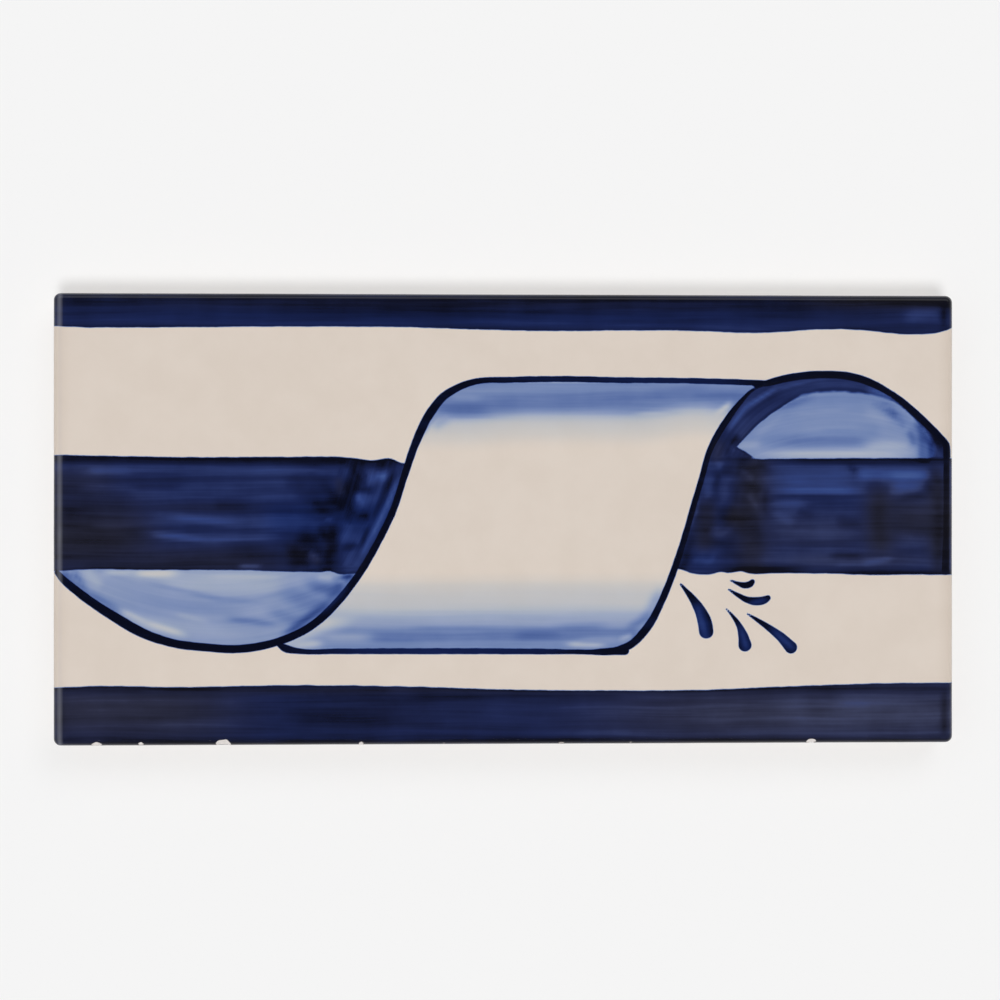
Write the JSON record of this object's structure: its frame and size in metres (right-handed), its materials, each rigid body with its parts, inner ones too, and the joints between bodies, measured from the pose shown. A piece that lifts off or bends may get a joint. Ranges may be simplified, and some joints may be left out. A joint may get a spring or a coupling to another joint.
{
  "type": "victorian border tile",
  "caption": "Rectangular glazed earthenware wall tile for a border course, painted in blue on cream with a ribbon wound round a rod between dark bands; keyed back for mortar.",
  "frame": {"origin": "middle of the back, on the plane of its ribs", "axes": "+X along the border, left to right as the pattern is read; +Y across the border, towards the top of the pattern; +Z out of the glazed face"},
  "size_m": [0.152, 0.076, 0.009],
  "materials": {
    "glazed_earthenware": "cream earthenware under a clear gloss glaze, painted in cobalt blue; bare biscuit on the back"
  },
  "bodies": {
    "root": {"border_tile": "glazed_earthenware"}
  },
  "joints": []
}
